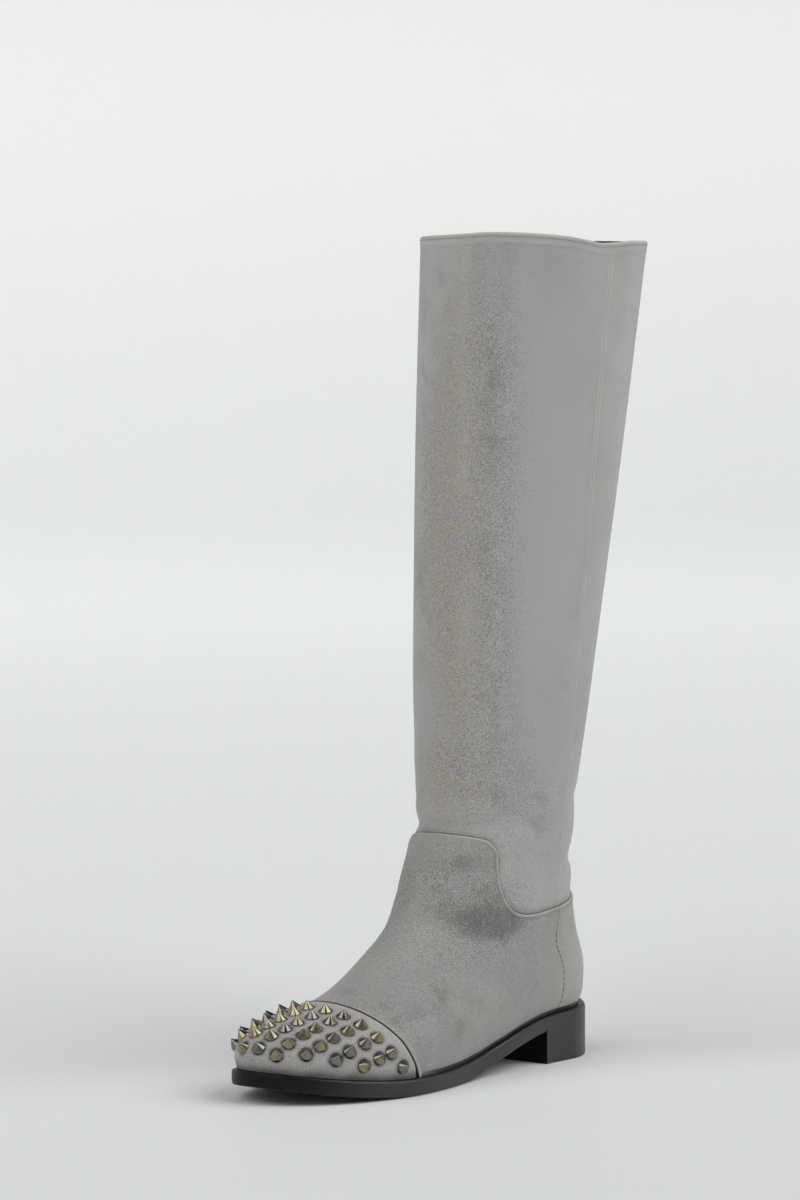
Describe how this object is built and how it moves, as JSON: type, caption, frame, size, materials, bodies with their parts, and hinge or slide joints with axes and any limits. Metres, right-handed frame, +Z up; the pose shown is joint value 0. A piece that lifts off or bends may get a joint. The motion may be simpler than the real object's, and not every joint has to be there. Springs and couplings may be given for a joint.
{
  "type": "knee-high suede boot",
  "caption": "Left knee-high suede boot with low block heel, black sole with toe spring, studded toe cap, and a half-length inner zip with a swinging pull tab.",
  "frame": {"origin": "on the floor under the middle of the boot's bounding box", "axes": "+Z up along the shaft, -Y towards the toe, +X towards the outer (lateral) side"},
  "size_m": [0.1198, 0.2898, 0.44],
  "materials": {
    "suede": "grey waxed suede with a short nap",
    "cap_suede": "grey waxed suede, slightly darker",
    "sole_rubber": "black satin",
    "heel_block": "black satin",
    "insole_leather": "smooth lining leather",
    "stud_metal": "polished warm nickel",
    "zip_cloth": "woven zip tape with a moulded chain",
    "zip_metal": "polished"
  },
  "bodies": {
    "boot": {"outsole": "sole_rubber", "heel": "heel_block", "insole": "insole_leather", "upper": "suede", "toe_cap": "cap_suede", "zip_tape": "zip_cloth", "zip_slider": "zip_metal", "stud_01": "stud_metal", "stud_02": "stud_metal", "stud_03": "stud_metal", "stud_04": "stud_metal", "stud_05": "stud_metal", "stud_06": "stud_metal", "stud_07": "stud_metal", "stud_08": "stud_metal", "stud_09": "stud_metal", "stud_10": "stud_metal", "stud_11": "stud_metal", "stud_12": "stud_metal", "stud_13": "stud_metal", "stud_14": "stud_metal", "stud_15": "stud_metal", "stud_16": "stud_metal", "stud_17": "stud_metal", "stud_18": "stud_metal", "stud_19": "stud_metal", "stud_20": "stud_metal", "stud_21": "stud_metal", "stud_22": "stud_metal", "stud_23": "stud_metal", "stud_24": "stud_metal", "stud_25": "stud_metal", "stud_26": "stud_metal", "stud_27": "stud_metal", "stud_28": "stud_metal", "stud_29": "stud_metal", "stud_30": "stud_metal", "stud_31": "stud_metal", "stud_32": "stud_metal", "stud_33": "stud_metal", "stud_34": "stud_metal", "stud_35": "stud_metal", "stud_36": "stud_metal", "stud_37": "stud_metal", "stud_38": "stud_metal", "stud_39": "stud_metal", "stud_40": "stud_metal", "stud_41": "stud_metal", "stud_42": "stud_metal", "stud_43": "stud_metal", "stud_44": "stud_metal", "stud_45": "stud_metal", "stud_46": "stud_metal", "stud_47": "stud_metal", "stud_48": "stud_metal", "stud_49": "stud_metal", "stud_50": "stud_metal"},
    "pull": {"zip_pull": "zip_metal"}
  },
  "joints": [
    {"name": "pull_tab_hinge", "type": "hinge", "parent": "boot", "child": "pull", "pos_m": [-0.05203, 0.05593, 0.21012], "axis": [-0.0116, 0.9999, 0], "range_deg": [0, 150]}
  ]
}
